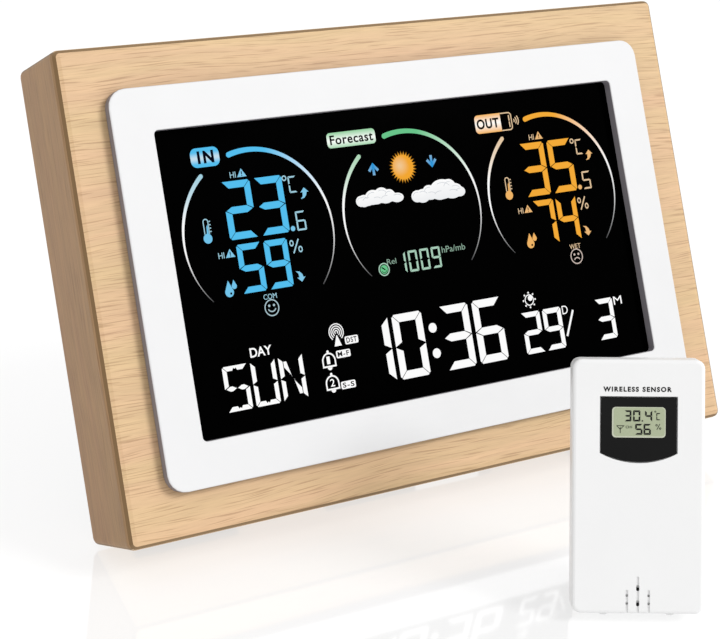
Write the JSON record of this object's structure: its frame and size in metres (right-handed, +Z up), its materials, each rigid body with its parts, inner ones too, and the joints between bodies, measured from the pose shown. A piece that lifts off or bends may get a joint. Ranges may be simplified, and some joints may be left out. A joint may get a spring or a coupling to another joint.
{
  "type": "home weather station",
  "caption": "Weather display console in a thick wooden frame with a fold-out rear stand, and its small wireless outdoor sensor standing in front.",
  "frame": {"origin": "on the surface it stands on, below the middle of the box round the console and the sensor", "axes": "+Z up, +X to the right as seen from the display side, -Y towards the viewer of the display"},
  "size_m": [0.216, 0.1798, 0.1491],
  "materials": {
    "wood": "satin light oak",
    "white_plastic": "satin white",
    "black_plastic": "fine matt texture",
    "clear_window": "polished dark acrylic",
    "display_glass": "dark display glass",
    "backlight": "clear light guide",
    "tint": "printed film",
    "board": "green solder mask",
    "resin": "moulded black resin",
    "rubber": "matt",
    "connector_rubber": "striped conductive rubber",
    "steel": "nickel plated",
    "ferrite": "sintered",
    "copper": "enamelled wire",
    "battery": "printed sleeve",
    "ribbon": "flat cable"
  },
  "bodies": {
    "console": {"battery_plate_1": "steel", "battery_plate_2": "steel", "battery_spring_1": "steel", "battery_spring_2": "steel", "buzzer": "black_plastic", "cell_1": "battery", "cell_2": "battery", "climate_probe": "white_plastic", "colour_film": "tint", "controller_blob": "resin", "cover_screw_1": "steel", "cover_screw_2": "steel", "cover_screw_3": "steel", "cover_screw_4": "steel", "dc_jack": "resin", "display_holder": "black_plastic", "display_lens": "clear_window", "ferrite_rod": "ferrite", "ferrite_winding": "copper", "foot_pad_left": "rubber", "foot_pad_right": "rubber", "front_bezel": "white_plastic", "inner_chassis": "black_plastic", "key_board": "board", "keypad_mat": "rubber", "lcd_panel": "display_glass", "led_strip": "board", "light_guide": "backlight", "main_pcb": "board", "radio_receiver": "steel", "rear_cover": "black_plastic", "ribbon_cable": "ribbon", "stand_pin": "steel", "wood_frame": "wood", "zebra_strip_lower": "connector_rubber", "zebra_strip_upper": "connector_rubber"},
    "stand": {"fold_out_stand": "black_plastic", "stand_foot": "rubber"},
    "battery_door": {"battery_door": "black_plastic"},
    "key_set": {"key_set": "black_plastic"},
    "key_alarm": {"key_alarm": "black_plastic"},
    "key_channel": {"key_channel": "black_plastic"},
    "key_down": {"key_down": "black_plastic"},
    "key_up": {"key_up": "black_plastic"},
    "key_light": {"key_light": "black_plastic"},
    "sensor": {"sensor_cell_1": "battery", "sensor_cell_2": "battery", "sensor_front_shell": "white_plastic", "sensor_lcd": "display_glass", "sensor_pcb": "board", "sensor_probe": "resin", "sensor_rear_shell": "white_plastic", "sensor_screw": "steel", "sensor_spring_1": "steel", "sensor_spring_2": "steel", "sensor_window": "clear_window"},
    "sensor_bail": {"sensor_bail": "steel"},
    "sensor_battery_door": {"sensor_battery_door": "white_plastic"},
    "sensor_channel_switch": {"sensor_channel_switch": "black_plastic"}
  },
  "joints": [
    {"name": "stand_hinge", "type": "hinge", "parent": "console", "child": "stand", "pos_m": [0, 0.06843, 0.092], "axis": [1, 0, 0], "range_deg": [-31.5, 0]},
    {"name": "battery_door_lift", "type": "slide", "parent": "console", "child": "battery_door", "axis": [0, 0.9438, -0.3305], "range_m": [0, 0.02]},
    {"name": "key_set_press", "type": "slide", "parent": "console", "child": "key_set", "axis": [0, -0.9438, 0.3305], "range_m": [0, 0.001], "stiffness_N_per_m": 800, "springref_m": -0.0003},
    {"name": "key_alarm_press", "type": "slide", "parent": "console", "child": "key_alarm", "axis": [0, -0.9438, 0.3305], "range_m": [0, 0.001], "stiffness_N_per_m": 800, "springref_m": -0.0003},
    {"name": "key_channel_press", "type": "slide", "parent": "console", "child": "key_channel", "axis": [0, -0.9438, 0.3305], "range_m": [0, 0.001], "stiffness_N_per_m": 800, "springref_m": -0.0003},
    {"name": "key_down_press", "type": "slide", "parent": "console", "child": "key_down", "axis": [0, -0.9438, 0.3305], "range_m": [0, 0.001], "stiffness_N_per_m": 800, "springref_m": -0.0003},
    {"name": "key_up_press", "type": "slide", "parent": "console", "child": "key_up", "axis": [0, -0.9438, 0.3305], "range_m": [0, 0.001], "stiffness_N_per_m": 800, "springref_m": -0.0003},
    {"name": "key_light_press", "type": "slide", "parent": "console", "child": "key_light", "axis": [0, -0.9438, 0.3305], "range_m": [0, 0.001], "stiffness_N_per_m": 800, "springref_m": -0.0003},
    {"name": "sensor_lift", "type": "slide", "parent": "console", "child": "sensor", "axis": [0, 0, 1], "range_m": [0, 0.05]},
    {"name": "sensor_bail_hinge", "type": "hinge", "parent": "sensor", "child": "sensor_bail", "pos_m": [0.01895, -0.05919, 0.02135], "axis": [0.8572, -0.515, 0], "range_deg": [-31, 0]},
    {"name": "sensor_battery_door_lift", "type": "slide", "parent": "sensor", "child": "sensor_battery_door", "axis": [0.4975, 0.828, -0.2588], "range_m": [0, 0.02]},
    {"name": "sensor_channel_slide", "type": "slide", "parent": "sensor", "child": "sensor_channel_switch", "axis": [0.8572, -0.515, 0], "range_m": [-0.0025, 0.0025]}
  ]
}
